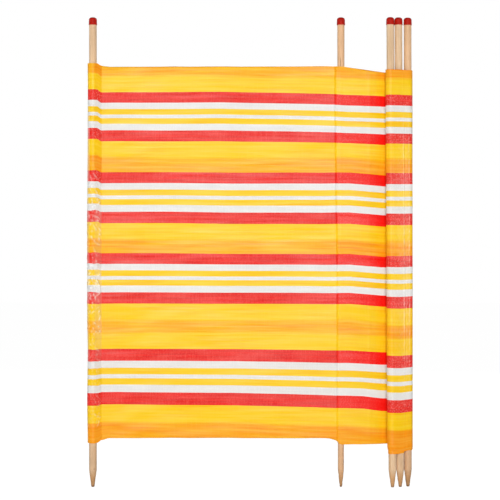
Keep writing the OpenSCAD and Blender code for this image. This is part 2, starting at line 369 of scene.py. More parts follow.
def texture(tree, vector, scale, detail, low, high):
    """Noise over a stretched vector, spread from 0 at low to 1 at high."""
    mapping = add_node(tree, "ShaderNodeMapping", {"Vector": vector, "Scale": scale})
    spots = add_node(tree, "ShaderNodeTexNoise",
                     {"Vector": mapping.outputs["Vector"], "Scale": 1.0, "Detail": detail})
    spread = add_node(tree, "ShaderNodeMapRange",
                      {"Value": spots.outputs["Fac"], "From Min": low, "From Max": high})
    return spread.outputs["Result"]


def blend(tree, factor, first, second):
    """Mixes two colours, each a constant or an output."""
    mix = tree.nodes.new("ShaderNodeMix")
    mix.data_type = "RGBA"
    return feed(tree, mix, {0: factor, 6: first, 7: second}).outputs[2]


def plain_math(tree, operation, first, second):
    """One operation on an output and a number or another output."""
    node = add_node(tree, "ShaderNodeMath", {0: first, 1: second})
    node.operation = operation
    return node.outputs[0]


def scaled(tree, value, share, start):
    """An output times share, plus start."""
    return plain_math(tree, "ADD", plain_math(tree, "MULTIPLY", value, share), start)


def swing(tree, value, share):
    """An output from 0 to 1 as one that swings about 0 by half of share."""
    return plain_math(tree, "MULTIPLY", plain_math(tree, "SUBTRACT", value, 0.5), share)


def add_bump(tree, height, shader):
    """Fine relief on a shader's normal."""
    bump = add_node(tree, "ShaderNodeBump",
                    {"Strength": BUMP_STRENGTH, "Distance": BUMP_DISTANCE, "Height": height})
    feed(tree, shader, {"Normal": bump.outputs["Normal"]})


def weave_bump(tree, vector, shader):
    """Crossing threads of the woven tape as a small bump."""
    waves = []
    for direction in ("X", "Y"):
        wave = add_node(tree, "ShaderNodeTexWave", {"Vector": vector, "Scale": WAVE_PERIOD / WEAVE_PITCH})
        wave.bands_direction = direction
        waves.append(wave.outputs["Fac"])
    add_bump(tree, plain_math(tree, "MULTIPLY", *waves), shader)


def woven_material(name, sheen):
    """Woven plastic tape, and its coordinates: metres along and up the flat cloth."""
    material, tree, shader = new_material(name, 0.34, 0.34)
    vector = attribute(tree, "weave", "Vector")
    weave_bump(tree, vector, shader)
    fine = scaled(tree, texture(tree, vector, *SHINE), 0.28, 0.03)
    broad = scaled(tree, texture(tree, vector, *BROAD_SHINE), 0.8, 0.55)
    feed(tree, shader, {"Sheen Weight": 0.5, "Sheen Roughness": 0.6, "Sheen Tint": sheen,
                        "Specular IOR Level": plain_math(tree, "MULTIPLY", fine, broad)})
    return material, tree, shader, vector


def finish_cloth(tree, shader, colour, crease_and_glint):
    """Joins a cloth's colour to its shader, whiter where its ridges show wear and where highlights and glints
    are painted.
    """
    feed(tree, shader, {"Base Color": blend(tree, attribute(tree, "pale_wear_and_glint"), colour, crease_and_glint)})


def warm_material():
    """Yellow to orange cloth by its tone, with long streaks across it, and paler streaks and threads painted
    as sheen and glints.
    """
    material, tree, shader, vector = woven_material("yellow_orange_cloth", WARM_SHEEN)
    streaks = swing(tree, texture(tree, vector, *WARM_STREAKS), 0.5)
    tone = plain_math(tree, "ADD", attribute(tree, "tone"), streaks)
    tone = plain_math(tree, "ADD", tone, swing(tree, texture(tree, vector, *WARM_PATCHES), 0.36))
    colour = blend(tree, tone, YELLOW, ORANGE)
    # Paler streaks painted as sheen, and threads painted as glints
    painted_sheen = plain_math(tree, "MULTIPLY", texture(tree, vector, *SHEEN_STREAKS), 0.42)
    colour = blend(tree, painted_sheen, colour, SHEEN_YELLOW)
    thread_glint = plain_math(tree, "MULTIPLY", texture(tree, vector, *WARM_THREAD_GLINTS), 0.07)
    colour = blend(tree, thread_glint, colour, YELLOW_THREAD_GLINT)
    finish_cloth(tree, shader, colour, CREASE_AND_GLINT_YELLOW)
    return material


def cool_material(name, base, dark, painted_sheen, sheen_share, deep_shade_colour, crease_and_glint):
    """Red or white cloth: dark streaks, sheen and glints painted as whitish threads, patches and specks, and
    a deeper colour painted as shade.
    """
    material, tree, shader, vector = woven_material(name, base)
    colour = blend(tree, texture(tree, vector, *COOL_STREAKS), base, dark)
    # Whitish threads, patches and specks painted as sheen and glints
    thread_glint, sheen_patch, glint_speck = (texture(tree, vector, *pattern)
                            for pattern in (COOL_THREAD_GLINTS, COOL_SHEEN_PATCHES, COOL_GLINT_SPECKS))
    marks = plain_math(tree, "ADD", plain_math(tree, "ADD", thread_glint, sheen_patch), glint_speck)
    colour = blend(tree, plain_math(tree, "MULTIPLY", marks, sheen_share), colour, painted_sheen)
    # Whitish specks painted as glints where the cloth is deeper
    depth_glints = plain_math(tree, "MULTIPLY", attribute(tree, "depth_glints"), glint_speck)
    colour = blend(tree, depth_glints, colour, crease_and_glint)
    # A deeper colour painted as shade
    colour = blend(tree, attribute(tree, "deep_shade"), colour, deep_shade_colour)
    finish_cloth(tree, shader, colour, crease_and_glint)
    return material


def wood_material():
    """Pale planed wood with long grain, tinted, cut and darkened through its attributes, by staining and dark
    marks and by shade painted into the split.
    """
    material, tree, shader = new_material("pole_wood", 0.55, 0.3)
    grain = attribute(tree, "grain", "Vector")
    fine = texture(tree, grain, *FINE_GRAIN)
    colour = blend(tree, texture(tree, grain, *BROAD_GRAIN), PALE_WOOD, BROWN_WOOD)
    colour = blend(tree, plain_math(tree, "MULTIPLY", fine, 0.6), colour, GRAIN_LINE)
    for key, mark in (("tint", TINTED_WOOD), ("cut", CUT_WOOD), ("stain_and_shade", STAIN_AND_SHADE_BROWN)):
        colour = blend(tree, attribute(tree, key), colour, mark)
    feed(tree, shader, {"Base Color": colour})
    add_bump(tree, fine, shader)
    return material


def cap_material():
    """Dark red moulded plastic."""
    material, tree, shader = new_material("cap_plastic", 0.40, 0.10)
    wear = texture(tree, attribute(tree, "grain", "Vector"), *CAP_WEAR)
    feed(tree, shader, {"Base Color": blend(tree, wear, CAP_RED, WORN_CAP_RED)})
    return material


CLOTHS = [
    warm_material(),
    cool_material("red_cloth", base=(0.83, 0.011, 0.006), dark=(0.64, 0.006, 0.003),
                  painted_sheen=(0.92, 0.15, 0.11), sheen_share=0.18,
                  deep_shade_colour=(0.93, 0.006, 0.003), crease_and_glint=(0.97, 0.70, 0.63)),
    cool_material("white_cloth", base=(0.76, 0.745, 0.72), dark=(0.70, 0.69, 0.67),
                  painted_sheen=(0.82, 0.815, 0.795), sheen_share=0.4,
                  deep_shade_colour=(0.79, 0.78, 0.76), crease_and_glint=(0.90, 0.89, 0.87)),
]
WOOD, PLASTIC = wood_material(), cap_material()


# Poles: each one's tint and how much darker its foot is below the cloth's edge, and the grain's shift from
# one to the next
WOOD_TINTS = (0.20, 1.0, 0.0, 0.1, 0.80)
FOOT_DARKENING = (0.15, 0.16, 0.0, 0.06, 0.20)
FOOT_DARKENING_RANGE = (0.085, 0.125)
GRAIN_ACROSS = 0.31
GRAIN_UP = 0.7
# Stains of the points (strength and heights over which it fades) and patches all over
POINT_STAINS = ((0.10, 0.034, 0.047), (0.20, 0.008, 0.034), (0.4, 0.001, 0.007))
PATCH_STAIN = 0.10
MAX_STAIN = 0.85
CUT_SHARE = 0.85
CUT_RANGE = (0.018, POINT_L + 0.003)
# Uneven planing of the shafts and knife marks on the points
UNEVEN = 0.00012
UNEVEN_BAND = (0.05, 0.08, 1.15, 1.17)
KNIFE_MARKS = 0.00035
KNIFE_BAND = (0.001, 0.006, POINT_L - 0.012, POINT_L)
# The slim second pole's split near its top, with shade painted dark into its groove
SPLIT_TURN = math.radians(262)
SPLIT_BAND = (1.070, 1.078, 1.086, 1.102)
SPLIT_DEPTH = 0.0011
SPLIT_W = 0.05
SPLIT_SHADE = 0.95
SPLIT_SHADE_W = 0.07
# Dark marks just above the point's start, by pole: strength, height and its spread, angle and its spread
DARK_MARKS = {0: (0.55, 0.0465, 0.0030, math.radians(297), 0.30),
         4: (0.62, 0.0405, 0.0034, math.radians(311), 0.36)}
POLE_SEED = 20
# Rings up the point and the shaft: from, to and how many
POINT_RINGS = (0.0024, POINT_L, 22)
SHAFT_RINGS = ((POINT_L + 0.002, 0.13, 34), (0.14, POLE_TOP - 0.14, 60),
               (POLE_TOP - 0.136, POLE_TOP - CHAMFER, 52))

# Caps: lip and mouth as heights above the edge and insets or flares, and rings that close the crown
CAP_LIP = ((0.0, 0.00025), (0.0002, 0.00006), (0.0005, 0.0))
CAP_TAPER = 0.0004
CAP_SHOULDER = 0.0068
CAP_WALL = 0.0009
CAP_CROWN = (0.0022, 0.0012, 0.0004)
CAP_GAP = 0.0001
CAP_MOUTH = ((0.0004, 0.0), (0.0001, 0.0002))


def lathe(name, i, rings, segments, material, shape, stains_and_shade, replaced):
    """A turned piece round pole i's axis: rings of (height, radius), shaped and darkened point by point, by
    staining and painted shade.
    """
    turns = np.linspace(0, 2 * math.pi, segments, endpoint=False)[None, :]
    z, r = (np.repeat(np.array(rings)[:, [k]], segments, 1) for k in (0, 1))
    r = r + shape(z, turns)
    local = np.stack([r * np.cos(turns), r * np.sin(turns)], 2)
    points = np.concatenate([axis_at(i, z) + local, z[..., None]], 2).reshape(-1, 3)
    here = np.arange(segments)
    after = (here + 1) % segments
    low = np.arange(len(rings) - 1)[:, None] * segments
    high = low + segments
    quads = np.stack([low + here, low + after, high + after, high + here], 2).reshape(-1, 4)
    faces = quads.tolist() + [here[::-1].tolist(), (here + len(points) - segments).tolist()]
    grain = np.concatenate([local + GRAIN_ACROSS * i, z[..., None] + GRAIN_UP * i], 2).reshape(-1, 3)
    looks = {"stain_and_shade": stains_and_shade(z, turns), "tint": np.full_like(z, WOOD_TINTS[i]),
             "cut": CUT_SHARE * fade(z, *CUT_RANGE)}
    obj = make_object(name, points, faces, np.zeros(len(faces)), [material], {"grain": grain}, looks)
    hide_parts(*replaced)
    return obj


def pole_rings(point_r, foot_r, top_r):
    """Heights and radii up a pole: blunt point, shaft and chamfered top."""
    bend = np.linspace(0, math.pi / 2, 6)
    tip = [(POINT_ROUND * (1 - math.cos(t)), point_r - POINT_ROUND * (1 - math.sin(t))) for t in bend]
    point = [(z, point_r + (foot_r - point_r) * z / POINT_L) for z in np.linspace(*POINT_RINGS)]
    heights = np.concatenate([np.linspace(*rings) for rings in SHAFT_RINGS])
    shaft = [(z, foot_r + (top_r - foot_r) * z / POLE_TOP) for z in heights]
    return tip + point + shaft + [(POLE_TOP, shaft[-1][1] - CHAMFER)]


def split(z, a, width):
    """How deep in the slim pole's split a point is, from 0 to 1."""
    return hump(a, SPLIT_TURN, width) * band(z, *SPLIT_BAND)


def make_pole(i):
    """One pole, slightly uneven, with its own staining, dark marks and splits, and shade painted into its
    split.
    """
    slim = i == 1
    seed = POLE_SEED + i

    def shape(z, a):
        uneven = UNEVEN * noise(a * 5 / math.pi + 3, z * 14, seed) * band(z, *UNEVEN_BAND)
        knife = KNIFE_MARKS * noise(a * 3 / math.pi + 9, z * 160, seed + 40) * band(z, *KNIFE_BAND)
        return uneven + knife - (SPLIT_DEPTH * split(z, a, SPLIT_W) if slim else 0)

    def stains_and_shade(z, a):
        point = sum(strength * fade(z, *ends) for strength, *ends in POINT_STAINS)
        patches = PATCH_STAIN * ease(noise(a * 4 / math.pi, z * 30, seed + 60), 0.2, 0.9)
        # Each foot darker below the cloth's edge
        stain_and_shade = np.clip(point + patches + FOOT_DARKENING[i] * fade(z, *FOOT_DARKENING_RANGE), 0, MAX_STAIN)
        # The split's groove painted dark as shade
        if slim:
            stain_and_shade = np.maximum(stain_and_shade, SPLIT_SHADE * split(z, a, SPLIT_SHADE_W))
        # Dark marks just above the point's start
        if i in DARK_MARKS:
            strength, height, height_w, turn, turn_w = DARK_MARKS[i]
            stain_and_shade = np.maximum(stain_and_shade, strength * hump(z, height, height_w) * hump(a, turn, turn_w))
        return stain_and_shade

    rings = pole_rings(SLIM_POINT_R, SLIM_FOOT_R, SLIM_TOP_R) if slim else pole_rings(POINT_R, POLE_R, POLE_R)
    lathe(f"pole_{i + 1}_wood", i, rings, 96, WOOD, shape, stains_and_shade, [f"pole_{i + 1}"])


def make_cap(i):
    """A round-shouldered cap with a hollow for the pole's end."""
    outer = [(CAP_LOW + up, CAP_R - inset) for up, inset in CAP_LIP]
    side_low = outer[-1][0]
    side_h = CAP_TOP - CAP_SHOULDER - side_low
    outer += [(side_low + t * side_h, CAP_R - CAP_TAPER * t) for t in np.linspace(0.1, 1, 9)]
    for t in np.linspace(0, math.pi / 2, 13)[1:]:
        outer.append((CAP_TOP - CAP_SHOULDER * (1 - math.sin(t)),
                      CAP_R - CAP_TAPER - CAP_SHOULDER * (1 - math.cos(t))))
    outer += [(CAP_TOP, r) for r in CAP_CROWN]
    inner_r = CAP_R - CAP_WALL
    ceiling = POLE_TOP + CAP_GAP
    inner = [(ceiling, CAP_CROWN[-1]), (ceiling, inner_r - CHAMFER), (ceiling - CHAMFER, inner_r)]
    inner += [(CAP_LOW + up, inner_r + flare) for up, flare in CAP_MOUTH]

    def unmarked(z, a):
        return 0 * z * a

    lathe(f"cap_{i + 1}_plastic", i, inner + outer, 72, PLASTIC, unmarked, unmarked,
          [f"cap_{i + 1}"])


for pole in range(len(FEET)):
    make_pole(pole)
    make_cap(pole)


# Plans of the cloth
def lift(plan, z):
    """Plan points and heights as points in space."""
    return np.concatenate([np.broadcast_to(plan, (*z.shape, 2)), z[..., None]], 2)


def plan_normal(plan):
    """Unit normals of plan paths, to the right of the way they run."""
    along = np.gradient(plan, axis=-2)
    normal = np.stack([along[..., 1], -along[..., 0]], -1)
    return normal / (np.linalg.norm(normal, axis=-1, keepdims=True) + EPSILON)


def path_length(plan):
    """Distance along a plan path from its start."""
    return np.concatenate([[0], np.cumsum(np.linalg.norm(np.diff(plan, axis=0), axis=1))])


def drawn_loop(middle, r, seam, flank, arc):
    """Plan of a pocket from its seam round the pole and back, with points for each flank and the arc."""
    run = seam - middle
    base, half = math.atan2(run[1], run[0]), math.acos(r / np.linalg.norm(run))
    ring = around(middle, r, np.linspace(base - half, base + half - 2 * math.pi, arc))
    t = shares(flank)[:, None]
    return np.concatenate([seam + (ring[0] - seam) * t, ring, seam + (ring[-1] - seam) * t[::-1]])


# End pocket: a loose sleeve drawn to its seam, crumpled over the pole
END_MIDDLE = np.array([-0.0004, 0.0025])
END_R = 0.0137
END_SEAM = np.array([0.022, 0.0025])
END_SEAM_RANGE = (0.001, 0.014)
POLE_CLEAR = 0.0003
# Edges over the pole and at the seam: flat bottom and top, then as seen
SLEEVE_EDGES = ((0.1190, 0.1225), (1.0878, 1.0800), (0.1126, 0.1192), (1.0825, 1.0774))
SLEEVE_FRAY = 0.0006
# Crumples, weaker low down and at the side, and slack besides
CRUMPLE = 0.0074
CRUSH_CELL = 0.0092
CRUSH_BAND = (0.130, 0.165, 0.70, 0.86)
LOW_CRUSH = 0.4
LOW_CRUSH_RANGE = (0.30, 0.46)
SIDE_CRUSH = 0.3
CRUSH_SHIFT = 0.0016
LEAST_CRUSHED = 0.02
SLACK = 0.0010
# Whitening: the bend that whitens a ridge, part wear and part painted glint, and the highlights painted on
# the flank and outer limb
CREASE_BEND = 520
CREASE_START = 0.12
CREASE_BLUR = (0.5, 0.3)
MAX_CREASE = 0.75
MAX_WEAR_AND_GLINT = 0.8
FLANK_HIGHLIGHT = 0.30
FLANK_BAND = (0.28, 0.42, 0.68, 0.77)
LIMB_HIGHLIGHT = 0.60
LIMB_BAND = (0.24, 0.31, 0.93, 1.0)
# Depth of its orange, painted shade, and more of it high on the flank, which turns away from the light
SLEEVE_SHADE = 1.2
FLANK_SHADE = 0.5
FLANK_SHADE_RANGE = (0.72, 0.80)


def crumple(u, v):
    """Height of crushed cloth over rows v and columns u: ridges that meet in sharp creases."""
    rng = np.random.default_rng(70)
    height = np.zeros((len(v), len(u)))
    for site_v in np.arange(0.0, CLOTH_H, CRUSH_CELL):
        for site_u in np.arange(0.0, u[-1], CRUSH_CELL):
            at_u, at_v = np.array([site_u, site_v]) + CRUSH_CELL * rng.uniform(-0.5, 0.5, 2)
            turn, peak = rng.uniform(0, math.pi), CRUMPLE * rng.uniform(0, 1) ** 1.2
            steep, gentle = rng.uniform(0.7, 1.5), rng.uniform(0.25, 0.8)
            rows = np.abs(v - at_v) < 3 * CRUSH_CELL
            x, y = np.meshgrid(u - at_u, v[rows] - at_v)
            side = np.abs(x * math.cos(turn) + y * math.sin(turn))
            along = np.abs(y * math.cos(turn) - x * math.sin(turn))
            height[rows] = np.maximum(height[rows], peak - steep * side - gentle * along)
    return height


def ridge_creases(height, u, v):
    """How sharply a relief over rows v and columns u bends outward, a little blurred."""
    bend = sum(np.gradient(np.gradient(height, at, axis=axis), at, axis=axis)
               for axis, at in ((0, v), (1, u)))
    crease = np.clip(-bend / CREASE_BEND - CREASE_START, 0, 1)
    middle, side = CREASE_BLUR
    for axis in (0, 1):
        crease = middle * crease + side * np.roll(crease, 1, axis) + side * np.roll(crease, -1, axis)
    return np.clip(crease, 0, MAX_CREASE)


def make_sleeve():
    """The end pocket's cloth."""
    v, stripes = cloth_rows(step=0.0019, edge_step=0.0013)
    loop = drawn_loop(END_MIDDLE, END_R, END_SEAM, flank=14, arc=52)
    u = path_length(loop)
    total = u[-1]
    near_seam = fade(np.minimum(u, total - u), *END_SEAM_RANGE)
    bottom, top, bottom_seen, top_seen = (np.interp(near_seam, (0, 1), edge) for edge in SLEEVE_EDGES)
    bottom_seen = bottom_seen + SLEEVE_FRAY * noise(u * 420, 0 * u, 5)
    z, _ = hang(v, bottom, top, bottom_seen, top_seen, np.ones_like(u))
    z = z + stripe_lift(loop[:, 0], z)

    outward = -plan_normal(loop)
    out_x, out_y = outward[:, 0], outward[:, 1]
    U, V = np.meshgrid(u, v)
    facing = ease(-out_y, -0.35, 0.35) * ease(out_x, -0.9, -0.3)
    crushed = band(z, *CRUSH_BAND) * at_least(LOW_CRUSH, ease(z, *LOW_CRUSH_RANGE))
    crushed = crushed * (1 - near_seam ** 4) * at_least(SIDE_CRUSH, facing)
    patchy = at_least(0.62, noise(U * 30 + 4, V * 17, 9))
    slack = SLACK * noise(U * 40, V * 9, 8) * (1 - near_seam ** 2)
    dents = crumple(u, v) * crushed * patchy

    flank = ease(out_x, 0.25, 0.55) * (out_y < 0)
    limb = ease(-out_x, 0.42, 0.86)
    # Highlights painted on the flank, for its glints, and on the outer limb, for the light from the left
    painted_highlight = FLANK_HIGHLIGHT * flank * band(z, *FLANK_BAND) + LIMB_HIGHLIGHT * limb * band(z, *LIMB_BAND)
    # Ridges whitened: part wear, part painted glints
    crease_and_glint = ridge_creases(dents, u, v) * (crushed > LEAST_CRUSHED)
    pale_wear_and_glint = np.clip(crease_and_glint + patchy * painted_highlight, 0, MAX_WEAR_AND_GLINT)
    z = z + CRUSH_SHIFT * noise(U * 90, V * 90, 23) * crushed

    plan = loop + outward * (slack + dents)[..., None]
    out = plan - FEET[0, :2]
    far = np.linalg.norm(out, axis=-1, keepdims=True)
    plan = FEET[0, :2] + out * np.maximum(far, POLE_R + POLE_CLEAR) / far
    # Painted shade: a deeper orange, more of it high on the flank
    depth = SLEEVE_SHADE + FLANK_SHADE * flank * ease(z, *FLANK_SHADE_RANGE)
    obj = cloth_piece("sleeve_1", lift(plan, z), v, stripes, u, CLOTH_T, ["pocket_1"], pale_wear_and_glint, depth)
    return obj


make_sleeve()


# Second seam
MID_HEIGHT = 0.6
SECOND_R = 0.00945
SECOND_SEAM_D = 0.0172
SECOND_SEAM_A = math.radians(213)
SECOND_SEAM = around(axis_at(1, MID_HEIGHT), SECOND_SEAM_D, SECOND_SEAM_A)
# The lower edge's sweep down to the second pole: places along it and heights
SWEPT_LOW = ((0.592, 0.600, 0.606, 0.616, 0.621, 0.628, 0.634, 0.642),
             (0.1250, 0.1243, 0.1228, 0.1192, 0.1151, 0.1108, 0.1094, 0.1090))

# First bay: edges as shares of its width and heights there, flat bottom and top, then as seen
BAY_1_EDGES = (((0, 0.06, 1), (0.1225, 0.1228, 0.1090)),
               ((0, 0.5, 1), (1.0800, 1.0822, 1.0750)),
               ((0, 0.012, 0.03, 0.5), (0.1192, 0.1211, 0.1249, 0.1250)),
               ((0, 0.012, 0.035, 1), (1.0774, 1.0763, 1.0748, 1.0742)))
BAY_1_HEM_WAVE = 0.0004
# Its waves, slanting tension folds by the sleeve, and packing creases
BROAD_WAVE = 0.0022
SMALL_WAVE = 0.0007
TENSION_FOLD = 0.0009
FOLD_SLANT = 0.22
FOLD_PITCH = 0.052
FOLD_REACH = 0.17
FOLD_START = 0.03
PACKING_CREASES = ((0.192, 0.0006), (0.214, -0.0005), (0.459, 0.0006), (0.541, 0.0005))
PACKING_CREASE_W = 0.005
# Width held by a seam, and how far its stripes wander inside its edges
SEAM_HOLD = 0.05
STRIPE_WANDER = 0.0010
WANDER_EDGE = (0.03, 0.08)


def bay_1_relief(U, V, width, free):
    """How far the first bay stands off its plane."""
    waves = BROAD_WAVE * noise(U * 3.1 + 2, V * 2.4 + 5, 11) + SMALL_WAVE * noise(U * 9 + 1, V * 7, 12)
    slant = (V - FOLD_SLANT * U) / FOLD_PITCH + 0.7 * noise(U * 6, V * 6, 13)
    folds = TENSION_FOLD * np.sin(2 * math.pi * slant) * np.exp(-U / FOLD_REACH) * ease(U, 0, FOLD_START)
    relief = (waves + folds) * free
    for x, depth in PACKING_CREASES:
        crease = depth * np.exp(-np.abs(U - x) / PACKING_CREASE_W)
        relief = relief + crease * at_least(0.6, noise(U * 4, V * 8, 14))
    return relief - SEAM_DIP * hump(U, width, SEAM_W)


def make_bay_1():
    """The spread panel, drawn flat."""
    v, stripes = cloth_rows(step=0.0046, edge_step=0.0013)
    t = np.concatenate([np.linspace(0, 0.012, 6), np.linspace(0.018, 0.982, 128), np.linspace(0.986, 1, 11)])
    plan = END_SEAM + (SECOND_SEAM - END_SEAM) * t[:, None]
    u = path_length(plan)
    width = u[-1]
    bottom, top, bottom_seen, top_seen = (np.interp(t, *edge) for edge in BAY_1_EDGES)
    bottom_seen = np.minimum(bottom_seen, np.interp(plan[:, 0], *SWEPT_LOW))
    wave = BAY_1_HEM_WAVE * noise(u * 22, 0 * u, 3)
    z, back = hang(v, bottom, top, bottom_seen + wave, top_seen + wave, 0 * u)
    U, V = np.meshgrid(u, v)
    free = band(U, 0, SEAM_HOLD, width - SEAM_HOLD, width)
    inside = ease(V, *WANDER_EDGE) * ease(CLOTH_H - V, *WANDER_EDGE)
    z = z + STRIPE_WANDER * noise(U * 6 + 3, V * 5, 15) * free * inside
    relief = bay_1_relief(U, V, width, free) - back
    middle = lift(plan + plan_normal(plan) * relief[..., None], z + stripe_lift(plan[:, 0], z))
    middle[..., 0] += seam_lean(z) * ease(U, width - SEAM_HOLD, width)
    obj = cloth_piece("bay_1_cloth", middle, v, stripes, u, CLOTH_T, ["bay_1_panel"])
    return obj


make_bay_1()


# Second pocket: behind the panel, drawn tight to the seam; edges are flat bottom and top, and top as seen
POCKET_2_SEAM = SECOND_SEAM + np.array([0.0004, SEAM_DIP + 0.0010])
POCKET_2_EDGES = (0.1093, 1.0726, 1.0722)
POCKET_2_RISE = 0.0008
POCKET_2_SLACK = 0.0004
POCKET_2_LEAN_W = 0.013


def make_pocket_2():
    """The second pole's pocket."""
    v, stripes = cloth_rows(step=0.012, edge_step=0.004)
    loop = drawn_loop(axis_at(1, MID_HEIGHT), SECOND_R, POCKET_2_SEAM, flank=6, arc=36)
    u = path_length(loop)
    bottom, top, top_seen = (np.full_like(u, height) for height in POCKET_2_EDGES)
    bottom_seen = np.interp(loop[:, 0], *SWEPT_LOW) + POCKET_2_RISE
    z, _ = hang(v, bottom, top, bottom_seen, top_seen, np.ones_like(u))
    U, V = np.meshgrid(u, v)
    rear = ease(np.sin(math.pi * U / u[-1]), 0.5, 0.9)
    relief = POCKET_2_SLACK * noise(U * 50, V * 12, 16) * rear
    middle = lift(loop + plan_normal(loop) * relief[..., None], z + stripe_lift(loop[:, 0], z))
    middle[..., 0] += seam_lean(z) * fade(np.minimum(U, u[-1] - U), 0, POCKET_2_LEAN_W)
    obj = cloth_piece("pocket_2_cloth", middle, v, stripes, u, CLOTH_T, ["pocket_2"])
    return obj


make_pocket_2()


# Second bay: over the second pole, along the roll's back and wound in round it
BAY_2_LOW = 0.099
ROLL_H = 0.97
BAY_2_GAP = 0.00035
WOUND_L = 0.498
LEFT_R = 0.0104
RIGHT_R = 0.0117
OUTER_PITCH = 0.00024
OUTER_TURN_L = 0.165
ROLL_SLACK = 0.0020
ROLL_SLACK_RANGE = (0.088, 0.112)
# Columns from the seam inwards
SEAM_COLUMNS = 12
WRAP_COLUMNS = 6
OPEN_COLUMNS = 40
ENTRY_COLUMNS = 18
FACE_COLUMNS = 40
INNER_COLUMNS = (10, 3)
OPEN_START = SEAM_COLUMNS + WRAP_COLUMNS
ROLL_START = OPEN_START + OPEN_COLUMNS
FACE_START = ROLL_START + ENTRY_COLUMNS
# Edges as lengths along the cloth and heights there, flat bottom and top, then as seen
BAY_2_EDGES = (((0, 0.025, 0.150, 0.195, 0.25, 0.31), (0.1090, 0.1093, 0.1037, 0.101, 0.0950, 0.0972)),
               ((0, 0.025, 0.150, 0.195, 0.25), (1.0750, 1.0729, 1.0707, 1.0720, 1.0740)),
               ((0, 0.150, 0.195, 0.25, 0.31), (0.1093, 0.1090, 0.1040, 0.0950, 0.0972)),
               ((0, 0.025, 0.040, 0.071, 0.102, 0.125, 0.15, 0.2, 0.25),
                (1.0742, 1.0729, 1.0705, 1.0669, 1.0628, 1.0608, 1.0606, 1.0625, 1.0657)))
# Inner turns of the roll, and the drops of their edges
INNER_START = (0.318, 0.345)
INNER_BOTTOM = 0.0955
INNER_DROP = 0.0095
INNER_DROP_RANGE = (0.783, 0.801)
INNER_TOP_DROP = 0.0012
# Hems, and where the cloth turns into the roll
BAY_2_FRAY = 0.0007
BAY_2_FRAY_RANGE = (0.2, 0.24)
BAY_2_HEM_WAVE = 0.0003
BAY_2_WAVE_RANGE = (0.14, 0.2)
DRAWN_RANGE = (0.155, 0.185)
ROLLED_RANGE = (0.150, 0.190)
WOUND_RISE = 0.0096
WOUND_RISE_BAND = (0.30, 0.63, 0.80, 0.92)
BAY_2_LEAN_W = 0.0135
# Open run, with a crease as depth, place and width, and the hollow where it meets the roll
OPEN_BOW = 0.0055
OPEN_BAND = (0.03, 0.06, 0.12, 0.15)
OPEN_RIPPLE = 0.0006
OPEN_CREASE = (0.0008, 0.0885, 0.003)
HOLLOW = 0.0078
HOLLOW_BAND = (0.100, 0.152, 0.152, 0.188)
# Roll's face, with folds as depth, place and width
LOOSE_BAND = (0.13, 0.45, 0.72, 1.02)
ROLL_BULGE = 0.0054
BULGE_RANGE = (0.001, 0.014)
FACE_FOLDS = ((0.0007, 0.345, 0.03), (-0.0006, 0.27, 0.03))
FACE_BAND = (0, 0.2, 0.9, 1)
FOOT_FLARE = 0.0014
FOOT_FLARE_H = 0.012
FACE_RIPPLE = 0.00025
# Glints painted on the roll's face: over all of it, more on its left, and along lines, with their places and
# width
FACE_GLINT = 0.03
LEFT_GLINT = 0.10
LINE_GLINT = 0.26
GLINT_LINES = (0.04, 0.35)
GLINT_LINE_W = 0.02
# Painted shade: how much deeper its orange is, and how much deeper its red is on the open run, most towards
# the crease
BAY_2_SHADE = 1.25
ROLLED_SHADE = 0.25
LOW_SHADE = 0.22
LOW_SHADE_RANGE = (0.05, 0.07)
SEAM_DEEP_SHADE = 0.35
CREASE_DEEP_SHADE = 0.55
CREASE_DEEP_SHADE_RANGE = (0.02, 0.15)
DEEP_SHADE_END = (0.158, 0.175)


def winding(left, right, left_r, right_r, length, pitch, entry, counts, slack=0.0):
    """Plan points of cloth wound in clockwise round two poles, and the length along it, from outside in.

    entry is the angle at which it meets the right pole, counts the points on each arc and run of the first
    turn and of the later ones, and slack how far the first turn stands off the left pole.
    """
    run = right - left
    dist = np.linalg.norm(run, axis=-1)
    heading = np.arctan2(run[:, 1], run[:, 0])
    lean = np.arcsin((right_r - left_r) / dist)
    front, rear = heading - math.pi / 2 - lean, heading + math.pi / 2 + lean
    mid = len(dist) // 2
    run_l = dist[mid] * math.cos(lean[mid])
    turn_l = right_r * (math.pi + 2 * lean[mid]) + left_r * (math.pi - 2 * lean[mid]) + 2 * dist[mid]
    on_left, on_right = (left, left_r, slack), (right, right_r, 0.0)
    plan, along, s, turn = [], [], 0.0, 0
    while True:
        start = entry if turn == 0 else rear
        arc_n, run_n = counts[min(turn, 1)]
        parts = ((on_right, on_right, start, front, arc_n),
                 (on_right, on_left, front, front, run_n),
                 (on_left, on_left, front, rear - 2 * math.pi, arc_n),
                 (on_left, on_right, rear, rear, max(run_n // 5, 1)))
        for first, last, a0, a1, n in parts:
            part_l = first[1] * abs(float((a0 - a1)[mid])) if first is last else run_l
            for t in np.arange(n) / n:
                here = s + t * part_l
                if here > length:
                    return np.stack(plan, 1), np.array(along)
                layer = pitch * (length - here) / turn_l
                loose = fade(here, 0.9 * turn_l, 1.1 * turn_l)
                ends = [around(centre, r + layer + gap * loose, a0 + (a1 - a0) * t)
                        for centre, r, gap in (first, last)]
                plan.append(ends[0] * (1 - t) + ends[1] * t)
                along.append(here)
            s += part_l
        turn += 1


